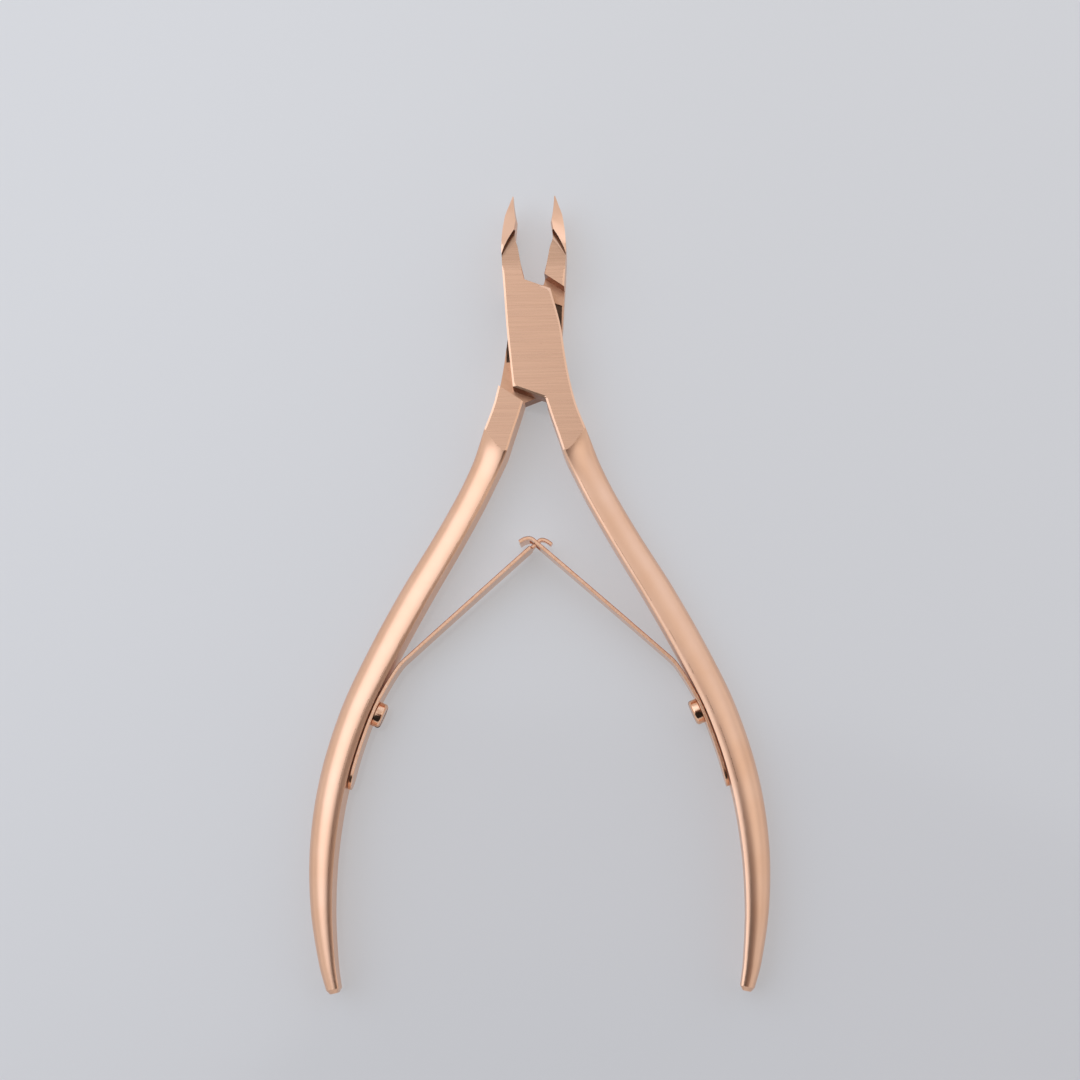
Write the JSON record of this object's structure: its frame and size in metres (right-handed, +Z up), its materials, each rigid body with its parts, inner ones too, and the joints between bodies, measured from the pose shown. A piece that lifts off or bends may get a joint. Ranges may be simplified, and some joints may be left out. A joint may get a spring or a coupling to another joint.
{
  "type": "cuticle nipper",
  "caption": "Lap-jointed cuticle nipper in satin rose gold, with pointed jaws, bowed handles and a hooked double leaf spring that holds it open.",
  "frame": {"origin": "on the pivot's axis, in the plane of the lower flats that the tool lies on", "axes": "+Y along the tool towards the jaw tips, +Z up along the pivot, +X towards the upper half's handle"},
  "size_m": [0.065, 0.1155, 0.0064],
  "materials": {
    "satin_metal": "satin, brushed on the flats",
    "spring_metal": "semi-gloss",
    "screw_metal": "polished"
  },
  "bodies": {
    "lower_lever": {"lower_half": "satin_metal", "pivot_rivet": "satin_metal", "left_spring_screw": "screw_metal"},
    "upper_lever": {"upper_half": "satin_metal", "right_spring_screw": "screw_metal"},
    "left_leaf": {"left_spring": "spring_metal"},
    "right_leaf": {"right_spring": "spring_metal"}
  },
  "joints": [
    {"name": "jaw_pivot", "type": "hinge", "parent": "lower_lever", "child": "upper_lever", "pos_m": [0, 0, 0.0032], "axis": [0, 0, -1], "range_deg": [0, 15.5], "stiffness_Nm_per_rad": 0.8, "springref_deg": -2.86},
    {"name": "left_leaf_flex", "type": "hinge", "parent": "lower_lever", "child": "left_leaf", "pos_m": [-0.0198, -0.0483, 0.0032], "axis": [0, 0, 1], "range_deg": [0, 10.9], "deforming": ["left_spring"]},
    {"name": "right_leaf_flex", "type": "hinge", "parent": "upper_lever", "child": "right_leaf", "pos_m": [0.0198, -0.0483, 0.0032], "axis": [0, 0, -1], "range_deg": [0, 10.9], "deforming": ["right_spring"]}
  ],
  "couplings": [
    {"joint": "left_leaf_flex", "follows": "jaw_pivot", "ratio": 0.697},
    {"joint": "right_leaf_flex", "follows": "jaw_pivot", "ratio": 0.697}
  ]
}
